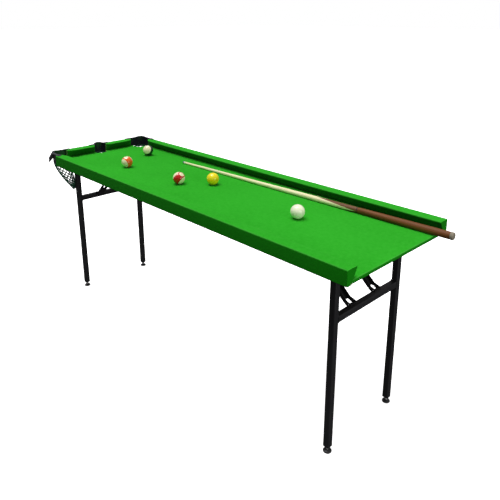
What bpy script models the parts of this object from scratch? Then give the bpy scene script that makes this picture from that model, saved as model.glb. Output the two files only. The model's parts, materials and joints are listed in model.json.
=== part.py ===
"""Mini pool table with three pockets at one end, an open end, and two folding leg frames.

Metres, +Z up. The floor is z = 0 and the origin lies under the middle of the outer box.
+X runs along the table towards its open end, -X towards the pockets, -Y is the near side.
Run with: blender --background --python part.py
"""
import math

import bmesh
import bpy
from mathutils import Vector

# ---- driving dimensions -------------------------------------------------------------------
TABLE_LENGTH = 2.000        # over the rails
TABLE_WIDTH = 0.610
TABLE_HEIGHT = 0.800        # floor to rail top
OPEN_X = 0.975              # the open end; the cue's butt stands out 70 mm past it
POCKET_X = OPEN_X - TABLE_LENGTH
GAP = 0.0003                # left between pieces that touch

RAIL_DEPTH = 0.056          # height of the wooden rail
RAIL_THICKNESS = 0.024      # wooden rail, outer face to inner face
CUSHION_REACH = 0.024       # rail's inner face to the cushion's nose
CLOTH = 0.0012
BED_SURFACE = 0.7595
BOARD_THICKNESS = 0.0138
RAIL_BOTTOM = TABLE_HEIGHT - RAIL_DEPTH
BOARD_TOP = BED_SURFACE - CLOTH - GAP
BOARD_BOTTOM = BOARD_TOP - BOARD_THICKNESS
CLOTH_FLAP = 0.030          # cloth turned under the board at the open end

BALL_DIAMETER = 0.0572
HOLE_RADIUS = 0.040         # corner pockets
MIDDLE_HOLE_RADIUS = 0.034
CORNER_INSET = 0.0525       # corner hole's centre from both outer faces
MIDDLE_INSET = 0.0295       # middle hole's centre from the end rail's outer face
SIDE_RAIL_SETBACK = 0.105   # side rail's end from the corner
END_RAIL_SETBACK = 0.100    # end rail's end from the corner
MIDDLE_HALF_OPENING = 0.0365
BRACKET_WALL = 0.003
BRACKET_RADIUS = 0.0385     # inside, corner pockets
MIDDLE_RADIUS = 0.0325      # inside, middle pocket
BRACKET_SKIRT = 0.0470      # the guard's wall below the rail top
EAR_THICKNESS = 0.0035      # the guard's ears above the rail top
NET_DEPTH = 0.1670
NET_WALL = 0.0015

TUBE = 0.025                # square leg tube
TUBE_WALL = 0.0015
TUBE_CORNER = 0.003
FRAME_X = {"open_end": 0.850, "pocket_end": -0.920}
INWARD = {"open_end": -1, "pocket_end": 1}      # towards the table's middle
SIDE = {"near": -1, "far": 1}
LEG_Y = 0.192
HINGE_DROP = 0.040          # leg pivot below the rails' lower edge
CROSSBAR_Z = 0.536
TUBE_BOTTOM = 0.026
PAD_HEIGHT = 0.010
PAD_RADIUS = 0.016

BRACE_Y = 0.075
BRACE_ANGLE = math.radians(42)      # the straight brace above the horizontal
LUG_OFFSET = 0.026                  # lug rivet inward of the legs' middle plane
LUG_Z = 0.553
LINK_HALF = 0.0065                  # half depth of both brace links
RIVET_RADIUS = 0.0029
RIVET_HOLE = 0.0032
HINGE_PIN_RADIUS = 0.004
STEM_RADIUS = 0.005
# Half widths from a brace's middle outwards, each piece clear of the last:
UPPER_HALF = 0.0098                 # upper link
FORK_INNER = 0.0102                 # bracket under the bed
FORK_OUTER = 0.0120
LINK_GAP_HALF = 0.0132              # lower link, a channel
LINK_OUTER = 0.0150
LUG_INNER = 0.0156                  # lug on the crossbar
LUG_OUTER = 0.0176

HINGE_Z = RAIL_BOTTOM - HINGE_DROP
BRACE_PIVOT_Z = HINGE_Z + LUG_OFFSET
LUG_DROP = HINGE_Z - LUG_Z
BRACE_PIVOT_U = LUG_OFFSET + (BRACE_PIVOT_Z - LUG_Z) / math.tan(BRACE_ANGLE)
BRACE_LENGTH = (BRACE_PIVOT_Z - LUG_Z) / math.sin(BRACE_ANGLE)
# Both links lie level and point inward when the legs are folded, and are straight at rest.
LOWER_LINK = (BRACE_LENGTH + BRACE_PIVOT_U - LUG_DROP) / 2
UPPER_LINK = BRACE_LENGTH - LOWER_LINK

BALLS = {                   # name: (x, y) of the centre
    "white_ball": (0.522, -0.008),
    "yellow_ball": (-0.044, 0.044),
    "red_striped_ball": (-0.164, -0.061),
    "orange_striped_ball": (-0.588, -0.075),
    "cream_ball": (-0.726, 0.146),
}
CUE_TIP = (-0.448, 0.180)
CUE_END = (1.045, 0.222)
CUE_TIP_RADIUS = 0.0055
CUE_END_RADIUS = 0.0145
CUE_JOINT = 1.096           # along the cue from its tip
CUE_BUMPER = 0.012
CUE_TIP_LENGTH = 0.008

MATERIALS = {               # colour, roughness, metallic
    "board": ((0.45, 0.31, 0.18), 0.7, 0.0),
    "cloth": ((0.035, 0.40, 0.028), 0.95, 0.0),
    "cushion": ((0.020, 0.24, 0.015), 0.95, 0.0),
    "pocket_plastic": ((0.012, 0.013, 0.02), 0.35, 0.0),
    "net_cord": ((0.008, 0.06, 0.03), 0.8, 0.0),
    "black_steel": ((0.015, 0.015, 0.016), 0.4, 0.0),
    "zinc_steel": ((0.5, 0.5, 0.5), 0.35, 1.0),
    "black_plastic": ((0.012, 0.012, 0.012), 0.5, 0.0),
    "white_resin": ((0.86, 0.84, 0.76), 0.12, 0.0),
    "yellow_resin": ((0.85, 0.55, 0.03), 0.12, 0.0),
    "red_resin": ((0.62, 0.03, 0.02), 0.12, 0.0),
    "orange_resin": ((0.80, 0.18, 0.03), 0.12, 0.0),
    "cream_resin": ((0.80, 0.72, 0.42), 0.12, 0.0),
    "maple": ((0.75, 0.62, 0.38), 0.3, 0.0),
    "dark_wood": ((0.14, 0.045, 0.02), 0.3, 0.0),
    "tip_leather": ((0.10, 0.16, 0.22), 0.9, 0.0),
    "rubber": ((0.35, 0.33, 0.30), 0.7, 0.0),
}


# ---- modelling helpers --------------------------------------------------------------------
def make_material(name):
    colour, roughness, metallic = MATERIALS[name]
    material = bpy.data.materials.new(name)
    material.use_nodes = True
    shader = material.node_tree.nodes["Principled BSDF"]
    shader.inputs["Base Color"].default_value = (*colour, 1)
    shader.inputs["Roughness"].default_value = roughness
    shader.inputs["Metallic"].default_value = metallic
    return material


def arc(centre, radius, start, end, steps):
    """Points on an arc, both ends included, angles in degrees."""
    angles = [math.radians(start + (end - start) * i / steps) for i in range(steps + 1)]
    return [(centre[0] + radius * math.cos(a), centre[1] + radius * math.sin(a)) for a in angles]


def along_axis(axis, a, b, depth):
    """A point from its two outline coordinates and its depth along the extrusion axis."""
    return {"X": (depth, a, b), "Y": (a, depth, b), "Z": (a, b, depth)}[axis]


def loft(bm, rings):
    """Closed body through rings of equal point counts, with flat ends."""
    rows = [[bm.verts.new(point) for point in ring] for ring in rings]
    count = len(rows[0])
    faces = [bm.faces.new(rows[0]), bm.faces.new(rows[-1])]
    for low, high in zip(rows, rows[1:]):
        for i in range(count):
            j = (i + 1) % count
            faces.append(bm.faces.new((low[i], low[j], high[j], high[i])))
    bmesh.ops.recalc_face_normals(bm, faces=faces)


def prism(bm, outline, axis, low, high):
    loft(bm, [[along_axis(axis, a, b, depth) for a, b in outline] for depth in (low, high)])


def box(bm, low, high):
    outline = [(low[0], low[1]), (high[0], low[1]), (high[0], high[1]), (low[0], high[1])]
    prism(bm, outline, "Z", low[2], high[2])


def turned(bm, profile, start, direction, segments):
    """Body of revolution. profile: (distance along direction from start, radius) pairs."""
    axis = Vector(direction).normalized()
    across = axis.orthogonal().normalized()
    other = axis.cross(across)
    rings = []
    for distance, radius in profile:
        middle = Vector(start) + axis * distance
        angles = [2 * math.pi * i / segments for i in range(segments)]
        rings.append([middle + (across * math.cos(a) + other * math.sin(a)) * radius for a in angles])
    loft(bm, rings)


def rounded_square(half, corner, steps):
    outline = []
    for k, (sx, sy) in enumerate(((1, 1), (-1, 1), (-1, -1), (1, -1))):
        centre = (sx * (half - corner), sy * (half - corner))
        outline += arc(centre, corner, 90 * k, 90 * k + 90, steps)
    return outline


def square_tube(bm, axis, centre, low, high):
    """Hollow square tube, open at both ends."""
    rings = []
    for half, corner in ((TUBE / 2, TUBE_CORNER), (TUBE / 2 - TUBE_WALL, TUBE_CORNER - TUBE_WALL)):
        outline = rounded_square(half, corner, 2)
        for depth in (low, high):
            points = [along_axis(axis, centre[0] + a, centre[1] + b, depth) for a, b in outline]
            rings.append([bm.verts.new(point) for point in points])
    outer_low, outer_high, inner_low, inner_high = rings
    count = len(outer_low)
    faces = []
    pairs = (
        (outer_low, outer_high), (inner_high, inner_low), (outer_high, inner_high), (inner_low, outer_low),
    )
    for first, second in pairs:
        for i in range(count):
            j = (i + 1) % count
            faces.append(bm.faces.new((first[i], first[j], second[j], second[i])))
    bmesh.ops.recalc_face_normals(bm, faces=faces)


class Table:
    """Keeps the material of each kind and the empty that each moving group hangs on."""

    def __init__(self):
        self.materials = {name: make_material(name) for name in MATERIALS}
        self.pivots = {}

    def add_pivot(self, group, position):
        empty = bpy.data.objects.new(group + "_pivot", None)
        empty.location = position
        empty.empty_display_size = 0.05
        bpy.context.collection.objects.link(empty)
        self.pivots[group] = empty

    def add_part(self, name, bm, material, group="table", smooth=None):
        """One named object on its group's pivot. smooth: largest angle that is shaded round."""
        pivot = self.pivots[group]
        bmesh.ops.translate(bm, verts=bm.verts, vec=-Vector(pivot.location))
        mesh = bpy.data.meshes.new(name)
        bm.to_mesh(mesh)
        bm.free()
        mesh.materials.append(self.materials[material])
        if smooth:
            mesh.shade_smooth()
            mesh.set_sharp_from_angle(angle=math.radians(smooth))
        part = bpy.data.objects.new(name, mesh)
        part.parent = pivot
        bpy.context.collection.objects.link(part)
        return part


def add_tool(name, bm):
    """A hidden body that cuts, or is joined to, a part."""
    mesh = bpy.data.meshes.new(name)
    bm.to_mesh(mesh)
    bm.free()
    tool = bpy.data.objects.new(name, mesh)
    tool.hide_render = True
    tool.display_type = "WIRE"
    bpy.context.collection.objects.link(tool)
    return tool


def combine(part, tool, operation):
    modifier = part.modifiers.new(operation.lower(), "BOOLEAN")
    modifier.operation = operation
    modifier.solver = "EXACT"
    modifier.object = tool


def drill(part, points, radius, reach):
    """Cuts holes along Y, one round each point, through the part."""
    for k, point in enumerate(points):
        bm = bmesh.new()
        turned(bm, ((-reach, radius), (reach, radius)), point, (0, 1, 0), 20)
        combine(part, add_tool(f"{part.name}_drill_{k}", bm), "DIFFERENCE")


# ---- bed and rails ------------------------------------------------------------------------
def corner_hole(side):
    """Centre of the hole in a corner at the pocket end."""
    return POCKET_X + CORNER_INSET, SIDE[side] * (TABLE_WIDTH / 2 - CORNER_INSET)


def middle_hole():
    return POCKET_X + MIDDLE_INSET, 0.0


def build_bed(table):
    half_width = TABLE_WIDTH / 2 - RAIL_THICKNESS - GAP
    start = POCKET_X + RAIL_THICKNESS + GAP
    end = OPEN_X - 0.001
    edge_round = 0.004

    def end_outline(x, low, high, radius):
        """The rounded open edge, from its lower to its upper tangent point."""
        lower = arc((x - radius, low + radius), radius, -90, 0, 3)
        return lower + arc((x - radius, high - radius), radius, 0, 90, 3)

    board_end = end - CLOTH - GAP
    bm = bmesh.new()
    outline = [(start, BOARD_TOP), (start, BOARD_BOTTOM)]
    outline += end_outline(board_end, BOARD_BOTTOM, BOARD_TOP, edge_round)
    prism(bm, outline, "Y", -half_width, half_width)
    board = table.add_part("bed_board", bm, "board")

    bm = bmesh.new()
    low = BOARD_BOTTOM - GAP - CLOTH
    inner = end_outline(board_end + GAP, BOARD_BOTTOM - GAP, BOARD_TOP + GAP, edge_round)
    outer = end_outline(end, low, BED_SURFACE, edge_round + CLOTH)
    flap = end - CLOTH_FLAP
    outline = [(start, BOARD_TOP + GAP), *reversed(inner), (flap, BOARD_BOTTOM - GAP), (flap, low)]
    outline += [*outer, (start, BED_SURFACE)]
    prism(bm, outline, "Y", -half_width, half_width)
    cloth = table.add_part("bed_cloth", bm, "cloth")

    holes = {
        "near_corner": (corner_hole("near"), HOLE_RADIUS),
        "far_corner": (corner_hole("far"), HOLE_RADIUS),
        "middle": (middle_hole(), MIDDLE_HOLE_RADIUS),
    }
    for name, ((x, y), radius) in holes.items():
        bm = bmesh.new()
        turned(bm, ((0, radius), (0.08, radius)), (x, y, 0.72), (0, 0, 1), 32)
        cutter = add_tool(name + "_hole_cutter", bm)
        for part in (board, cloth):
            combine(part, cutter, "DIFFERENCE")


def rail_outline():
    """Rail section as (distance from the outer face, z), with rounded outer edges."""
    top, bottom, thick = TABLE_HEIGHT, RAIL_BOTTOM, RAIL_THICKNESS
    outline = arc((0.005, top - 0.005), 0.005, 180, 90, 4)
    outline += [(thick, top), (thick, bottom)]
    outline += arc((0.003, bottom + 0.003), 0.003, 270, 180, 3)
    return outline


def cushion_outline():
    """Cushion section as (reach from the rail's inner face, z). Its nose is near the top."""
    low, top = BED_SURFACE + GAP, TABLE_HEIGHT - GAP
    nose = arc((CUSHION_REACH - 0.004, top - 0.004), 0.004, 90, -30, 5)
    return [(GAP, low), (GAP, top), *nose, (0.004, low)]


def cushion_stations(length, start_jaw, end_jaw):
    """(distance along the cushion, share of full reach). Each jaw curves back to the rail."""
    least = 0.10
    steps = 6
    stations = []
    for k in range(steps + 1):
        angle = math.pi / 2 * k / steps
        stations.append((start_jaw * (1 - math.cos(angle)), least + (1 - least) * math.sin(angle)))
    if not start_jaw:
        stations = [(0.0, 1.0)]
    if not end_jaw:
        return stations + [(length, 1.0)]
    for k in range(steps + 1):
        angle = math.pi / 2 * k / steps
        stations.append((length - end_jaw * (1 - math.sin(angle)), least + (1 - least) * math.cos(angle)))
    return stations


def build_rails(table):
    outer_y = TABLE_WIDTH / 2
    side_start = POCKET_X + SIDE_RAIL_SETBACK
    side_jaw, corner_jaw, middle_jaw = 0.075, 0.060, 0.022
    for side, sign in SIDE.items():
        bm = bmesh.new()
        outline = [(sign * (outer_y - d), z) for d, z in rail_outline()]
        prism(bm, outline, "X", side_start, OPEN_X)
        table.add_part(side + "_side_rail", bm, "cloth")

        bm = bmesh.new()
        inner_y = outer_y - RAIL_THICKNESS
        rings = []
        for along, share in cushion_stations(OPEN_X - side_start, side_jaw, 0):
            x = side_start + along
            rings.append([(x, sign * (inner_y - d * share), z) for d, z in cushion_outline()])
        loft(bm, rings)
        table.add_part(side + "_side_cushion", bm, "cushion", smooth=50)

        inner_end, outer_end = MIDDLE_HALF_OPENING, outer_y - END_RAIL_SETBACK
        bm = bmesh.new()
        outline = [(POCKET_X + d, z) for d, z in rail_outline()]
        prism(bm, outline, "Y", *sorted((sign * inner_end, sign * outer_end)))
        table.add_part(side + "_end_rail", bm, "cloth")

        bm = bmesh.new()
        inner_x = POCKET_X + RAIL_THICKNESS
        rings = []
        for along, share in cushion_stations(outer_end - inner_end, middle_jaw, corner_jaw):
            rings.append([(inner_x + d * share, sign * (inner_end + along), z) for d, z in cushion_outline()])
        loft(bm, rings)
        table.add_part(side + "_end_cushion", bm, "cushion", smooth=50)


# ---- pockets ------------------------------------------------------------------------------
def bracket_section(top, lip, drop, padding):
    """Bracket section as (distance outward from the wall's inner face, z). Its lip hangs
    lower by drop and is thicker by padding."""
    bottom = TABLE_HEIGHT - BRACKET_SKIRT
    seat = TABLE_HEIGHT + GAP
    under = seat - drop - padding
    return [
        (0, bottom), (BRACKET_WALL, bottom), (BRACKET_WALL, seat - padding),
        (lip - 0.001, under), (lip, under + 0.001), (lip, top - 0.001 - drop), (lip - 0.001, top - drop),
        (BRACKET_WALL + 0.001, top), (-0.003, top), (-0.003, top - 0.0025), (0, top - 0.003),
    ]


def build_bracket(table, name, path, shape, ears):
    """Moulded guard round a pocket hole. path: (x, y, outward angle in degrees) stations;
    shape: (rise of the rim, lip at its ends, then extra lip, drop and padding in the middle)."""
    rise, end_lip, extra_lip, extra_drop, padding = shape
    rim = TABLE_HEIGHT + EAR_THICKNESS
    rings = []
    for k, (x, y, angle) in enumerate(path):
        middle = math.sin(math.pi * k / (len(path) - 1)) ** 2
        top = rim + rise * middle
        lip = end_lip + extra_lip * middle ** 4
        out = (math.cos(math.radians(angle)), math.sin(math.radians(angle)))
        section = bracket_section(top, lip, extra_drop * middle ** 2, padding * middle ** 2)
        rings.append([(x + out[0] * r, y + out[1] * r, z) for r, z in section])
    bm = bmesh.new()
    loft(bm, rings)
    bracket = table.add_part(name, bm, "pocket_plastic", smooth=35)
    for k, (low, high) in enumerate(ears):
        bm = bmesh.new()
        box(bm, (*low, TABLE_HEIGHT + GAP), (*high, rim))
        combine(bracket, add_tool(f"{name}_ear_{k}", bm), "UNION")


def build_brackets(table):
    rail_middle = RAIL_THICKNESS / 2
    for side, sign in SIDE.items():
        centre = corner_hole(side)
        arm_y = centre[1] + sign * BRACKET_RADIUS
        arm_x = centre[0] - BRACKET_RADIUS
        rail_end = POCKET_X + SIDE_RAIL_SETBACK - 2 * GAP
        end_rail_end = sign * (TABLE_WIDTH / 2 - END_RAIL_SETBACK + 2 * GAP)
        path = [(rail_end + (centre[0] - rail_end) * k / 3, arm_y, sign * 90) for k in range(3)]
        for k in range(11):
            angle = 90 + 9 * k
            direction = math.radians(angle)
            x = centre[0] + BRACKET_RADIUS * math.cos(direction)
            y = centre[1] + sign * BRACKET_RADIUS * math.sin(direction)
            path.append((x, y, sign * angle))
        path += [(arm_x, centre[1] + (end_rail_end - centre[1]) * k / 3, 180) for k in (1, 2, 3)]
        outer = sign * (TABLE_WIDTH / 2 - 0.003)
        inner = sign * (TABLE_WIDTH / 2 - RAIL_THICKNESS + 0.002)
        side_ear = ((rail_end - 0.006, min(outer, inner)), (rail_end + 0.026, max(outer, inner)))
        reach = sorted((end_rail_end + sign * 0.006, end_rail_end - sign * 0.026))
        end_ear = ((POCKET_X + 0.003, reach[0]), (POCKET_X + RAIL_THICKNESS - 0.002, reach[1]))
        shape = (0.0055, 0.009, 0.021, 0.038, 0.018)
        build_bracket(table, side + "_corner_bracket", path, shape, (side_ear, end_ear))

    x, y = middle_hole()
    path = []
    for k in range(17):
        angle = 99 + 162 * k / 16
        direction = math.radians(angle)
        path.append((x + MIDDLE_RADIUS * math.cos(direction), y + MIDDLE_RADIUS * math.sin(direction), angle))
    ear_low, ear_high = POCKET_X + rail_middle - 0.008, POCKET_X + rail_middle + 0.0095
    ears = [((ear_low, 0.030), (ear_high, 0.058)), ((ear_low, -0.058), (ear_high, -0.030))]
    build_bracket(table, "middle_bracket", path, (0.0055, 0.007, 0.005, 0.001, 0.002), ears)


def build_net(table, name, centre, radius, sway):
    """Open-topped bag under a bracket. It hangs straight through the bed, and below that it
    tapers to a tied end, pulled sideways by sway."""
    top = TABLE_HEIGHT - BRACKET_SKIRT - 2 * GAP
    straight = (top - BOARD_BOTTOM) / NET_DEPTH
    rings = 11
    segments = 16

    def ring(share, shrink):
        hang = max(0.0, (share - straight) / (1 - straight))
        size = (radius + 0.0005 - shrink) * (1 - 0.72 * hang ** 1.8)
        x = centre[0] + sway[0] * hang ** 1.25
        y = centre[1] + sway[1] * hang ** 1.25
        points = arc((x, y), size, 0, 360 * (1 - 1 / segments), segments - 1)
        return [(a, b, top - NET_DEPTH * share) for a, b in points]

    outside = [ring(k / (rings - 1), 0) for k in range(rings)]
    inside = [ring(0.92 * k / (rings - 1), NET_WALL) for k in range(rings)]
    bm = bmesh.new()
    loft(bm, list(reversed(outside)) + inside)
    table.add_part(name, bm, "net_cord", smooth=60)


# ---- leg frames ---------------------------------------------------------------------------
def frame_point(end, u, z):
    """World (x, z) of a point that lies u inward of the legs' middle plane."""
    return FRAME_X[end] + INWARD[end] * u, z


def plates(bm, end, outline, spans):
    """Flat plates of one (u, z) outline, one for each span along Y."""
    for low, high in spans:
        prism(bm, [frame_point(end, u, z) for u, z in outline], "Y", low, high)


def both_faces(y, inner, outer):
    """Two spans along Y, mirrored about y."""
    return ((y - outer, y - inner), (y + inner, y + outer))


def link_outline(start, angle, points):
    """Outline given along a link, turned and moved into (u, z)."""
    c, s = math.cos(angle), math.sin(angle)
    return [(start[0] + c * a - s * b, start[1] + s * a + c * b) for a, b in points]


def rivet_pair(x, y, z, inner, outer):
    """Two short rivets with outside heads, one through each plate of a pair."""
    bm = bmesh.new()
    for facing in (-1, 1):
        shank = outer - inner
        profile = ((0, RIVET_RADIUS), (shank, RIVET_RADIUS), (shank, 0.0050), (shank + 0.0018, 0.0042))
        turned(bm, profile, (x, y + facing * inner, z), (0, facing, 0), 12)
    return bm


def build_legs(table, end):
    """Two tubes, each with a threaded plate in its foot, and the crossbar between them."""
    group = end + "_frame"
    x = FRAME_X[end]
    for side, sign in SIDE.items():
        y = sign * LEG_Y
        name = f"{end}_{side}_leg"
        bm = bmesh.new()
        square_tube(bm, "Z", (x, y), TUBE_BOTTOM, HINGE_Z + TUBE / 2)
        leg = table.add_part(name, bm, "black_steel", group, smooth=35)
        bm = bmesh.new()
        plate = rounded_square(TUBE / 2 - TUBE_WALL / 2, TUBE_CORNER - TUBE_WALL / 2, 2)
        prism(bm, [(x + a, y + b) for a, b in plate], "Z", TUBE_BOTTOM + 0.0005, TUBE_BOTTOM + 0.006)
        combine(leg, add_tool(name + "_foot_plate", bm), "UNION")
        bm = bmesh.new()
        turned(bm, ((0, STEM_RADIUS + GAP), (0.04, STEM_RADIUS + GAP)), (x, y, 0.01), (0, 0, 1), 16)
        combine(leg, add_tool(name + "_stem_drill", bm), "DIFFERENCE")
        drill(leg, [(x, y, HINGE_Z)], HINGE_PIN_RADIUS + 0.0005, 0.02)
    bm = bmesh.new()
    reach = LEG_Y - TUBE / 2 - GAP
    square_tube(bm, "Y", (x, CROSSBAR_Z), -reach, reach)
    table.add_part(end + "_crossbar", bm, "black_steel", group, smooth=35)


def build_feet(table, end):
    x = FRAME_X[end]
    for side, sign in SIDE.items():
        y = sign * LEG_Y
        foot = f"{end}_{side}_foot"
        table.add_pivot(foot, (x, y, 0))
        bm = bmesh.new()
        turned(bm, ((PAD_HEIGHT + GAP, STEM_RADIUS), (0.045, STEM_RADIUS)), (x, y, 0), (0, 0, 1), 16)
        table.add_part(foot + "_stem", bm, "zinc_steel", foot, smooth=40)
        bm = bmesh.new()
        profile = ((0, PAD_RADIUS - 0.001), (0.002, PAD_RADIUS), (0.006, PAD_RADIUS), (PAD_HEIGHT, 0.010))
        turned(bm, profile, (x, y, 0), (0, 0, 1), 24)
        table.add_part(foot + "_pad", bm, "black_plastic", foot, smooth=40)


def build_lugs(table, end):
    """Forked lug on the crossbar for each brace, with a short rivet in each of its plates."""
    top = CROSSBAR_Z + TUBE / 2 + GAP
    back = TUBE / 2 + GAP
    front = 0.003
    outline = [(front, top), (back, top), (back, CROSSBAR_Z)]
    outline += arc((LUG_OFFSET, LUG_Z), 0.008, -50, 100, 8) + [(front, top + 0.005)]
    seat = [(front + 0.001, top), (back, top), (back, top + 0.002), (front + 0.001, top + 0.002)]
    x, z = frame_point(end, LUG_OFFSET, LUG_Z)
    for side, sign in SIDE.items():
        y = sign * BRACE_Y
        name = f"{end}_{side}_brace_lug"
        bm = bmesh.new()
        plates(bm, end, outline, both_faces(y, LUG_INNER, LUG_OUTER))
        lug = table.add_part(name, bm, "black_steel", end + "_frame")
        bm = bmesh.new()
        plates(bm, end, seat, ((y - LUG_INNER - 0.001, y + LUG_INNER + 0.001),))
        combine(lug, add_tool(name + "_seat", bm), "UNION")
        rivets = rivet_pair(x, y, z, LINK_GAP_HALF - GAP, LUG_OUTER - 0.0002)
        combine(lug, add_tool(name + "_rivets", rivets), "UNION")


def build_lower_braces(table, end):
    """Channel from the lug to the knee, with its open side up. Its web is cut short of the
    knee, so that the upper link can fold in between its two sides."""
    group = end + "_lower_braces"
    lug_x, lug_z = frame_point(end, LUG_OFFSET, LUG_Z)
    table.add_pivot(group, (lug_x, 0, lug_z))
    web_start, web_end, web_bottom, web = 0.008, 0.072, -0.0105, 0.0018
    lug = (LUG_OFFSET, LUG_Z)
    side_points = arc((0, 0), LINK_HALF, 90, 270, 6)
    side_points += [(web_start - 0.006, -LINK_HALF), (web_start - 0.002, web_bottom)]
    side_points += [(web_end + 0.004, web_bottom), (web_end + 0.010, -LINK_HALF)]
    side_points += arc((LOWER_LINK, 0), LINK_HALF, -90, 90, 6)
    low = web_bottom + 0.0002
    web_points = [(web_start, low), (web_end, low), (web_end, low + web), (web_start, low + web)]
    side_outline = link_outline(lug, BRACE_ANGLE, side_points)
    web_outline = link_outline(lug, BRACE_ANGLE, web_points)
    knee_x, knee_z = frame_point(end, *link_outline(lug, BRACE_ANGLE, [(LOWER_LINK, 0)])[0])
    for side, sign in SIDE.items():
        y = sign * BRACE_Y
        name = f"{end}_{side}_lower_brace"
        bm = bmesh.new()
        plates(bm, end, side_outline, both_faces(y, LINK_GAP_HALF, LINK_OUTER))
        brace = table.add_part(name, bm, "black_steel", group)
        bm = bmesh.new()
        middle = (LINK_GAP_HALF + LINK_OUTER) / 2
        plates(bm, end, web_outline, ((y - middle, y + middle),))
        combine(brace, add_tool(name + "_web", bm), "UNION")
        drill(brace, [(lug_x, y, lug_z)], RIVET_HOLE, 0.020)
        rivets = rivet_pair(knee_x, y, knee_z, LINK_GAP_HALF - GAP, LINK_OUTER - 0.0002)
        combine(brace, add_tool(name + "_knee_rivets", rivets), "UNION")


def build_upper_braces(table, end):
    """Narrower channel from the bracket under the bed to the knee, inside the lower one."""
    group = end + "_upper_braces"
    x, z = frame_point(end, BRACE_PIVOT_U, BRACE_PIVOT_Z)
    table.add_pivot(group, (x, 0, z))
    points = arc((0, 0), LINK_HALF, 90, 270, 6) + arc((UPPER_LINK, 0), LINK_HALF, -90, 90, 6)
    pivot = (BRACE_PIVOT_U, BRACE_PIVOT_Z)
    direction = BRACE_ANGLE + math.pi
    outline = link_outline(pivot, direction, points)
    knee_x, knee_z = frame_point(end, *link_outline(pivot, direction, [(UPPER_LINK, 0)])[0])
    trough = [(-0.010, -0.012), (UPPER_LINK + 0.010, -0.012), (UPPER_LINK + 0.010, 0.0045), (-0.010, 0.0045)]
    hollow = link_outline(pivot, direction, trough)
    for side, sign in SIDE.items():
        y = sign * BRACE_Y
        name = f"{end}_{side}_upper_brace"
        bm = bmesh.new()
        plates(bm, end, outline, ((y - UPPER_HALF, y + UPPER_HALF),))
        brace = table.add_part(name, bm, "black_steel", group)
        bm = bmesh.new()
        plates(bm, end, hollow, ((y - UPPER_HALF + 0.002, y + UPPER_HALF - 0.002),))
        combine(brace, add_tool(name + "_hollow", bm), "DIFFERENCE")
        drill(brace, [(x, y, z), (knee_x, y, knee_z)], RIVET_HOLE, 0.015)


def build_fork(table, name, end, u, y, pivot, ear, seat):
    """Forked bracket under the bed with its riveted pin.
    pivot: (z, pin radius, ear radius); ear: (inner face, outer face, half width at the top);
    seat: half sizes of the plate along X and Y."""
    z, pin_radius, ear_radius = pivot
    inner, outer, half_top = ear
    high = BOARD_BOTTOM - GAP
    low = high - 0.002
    outline = [(u - half_top, low + 0.001)] + arc((u, z), ear_radius, 190, 350, 8)
    outline += [(u + half_top, low + 0.001)]
    x, _ = frame_point(end, u, z)
    bm = bmesh.new()
    plates(bm, end, outline, both_faces(y, inner, outer))
    fork = table.add_part(name, bm, "zinc_steel")
    bm = bmesh.new()
    box(bm, (x - seat[0], y - seat[1], low), (x + seat[0], y + seat[1], high))
    combine(fork, add_tool(name + "_seat", bm), "UNION")
    bm = bmesh.new()
    reach = outer + 0.0005
    turned(bm, ((-reach, pin_radius), (reach, pin_radius)), (x, y, z), (0, 1, 0), 16)
    combine(fork, add_tool(name + "_pin", bm), "UNION")


def build_underside_brackets(table, end):
    for side, sign in SIDE.items():
        name = f"{end}_{side}_hinge_bracket"
        pivot = (HINGE_Z, HINGE_PIN_RADIUS, 0.010)
        build_fork(table, name, end, 0, sign * LEG_Y, pivot, (0.0130, 0.0150, 0.015), (0.022, 0.032))
        name = f"{end}_{side}_brace_bracket"
        pivot = (BRACE_PIVOT_Z, RIVET_RADIUS, LINK_HALF)
        spot = sign * BRACE_Y
        ear = (FORK_INNER, FORK_OUTER, 0.008)
        build_fork(table, name, end, BRACE_PIVOT_U, spot, pivot, ear, (0.014, 0.024))


# ---- balls and cue ------------------------------------------------------------------------
def build_balls(table):
    for name, (x, y) in BALLS.items():
        centre = (x, y, BED_SURFACE + GAP + BALL_DIAMETER / 2)
        table.add_pivot(name, centre)
        bm = bmesh.new()
        bmesh.ops.create_uvsphere(bm, u_segments=24, v_segments=12, radius=BALL_DIAMETER / 2)
        bmesh.ops.translate(bm, verts=bm.verts, vec=centre)
        table.add_part(name, bm, name.split("_")[0] + "_resin", name, smooth=180)


def build_cue(table):
    """Two-piece cue. It lies on the bed along its whole length, so its axis rises with its radius."""
    tip = Vector((*CUE_TIP, BED_SURFACE + GAP + CUE_TIP_RADIUS))
    end = Vector((*CUE_END, BED_SURFACE + GAP + CUE_END_RADIUS))
    direction = (end - tip).normalized()
    # The round end's rim would otherwise stand out past the stated end.
    length = (end - tip).length - CUE_END_RADIUS * abs(direction.z)
    table.add_pivot("cue", tip)

    def radius(distance):
        return CUE_TIP_RADIUS + (CUE_END_RADIUS - CUE_TIP_RADIUS) * distance / length

    def cut_piece(name, stations, material):
        bm = bmesh.new()
        turned(bm, stations, tip, direction, 16)
        table.add_part(name, bm, material, "cue", smooth=60)

    bumper = length - CUE_BUMPER
    crown = [(0, radius(0) * 0.6), (0.002, radius(0)), (CUE_TIP_LENGTH, radius(0))]
    cut_piece("cue_tip", crown, "tip_leather")
    cut_piece("cue_shaft", [(d, radius(d)) for d in (CUE_TIP_LENGTH + GAP, CUE_JOINT)], "maple")
    cut_piece("cue_butt", [(d, radius(d)) for d in (CUE_JOINT + GAP, bumper)], "dark_wood")
    rubber = [(bumper + GAP, radius(bumper)), (length - 0.003, radius(bumper))]
    rubber.append((length, radius(bumper) * 0.75))
    cut_piece("cue_bumper", rubber, "rubber")


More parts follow.
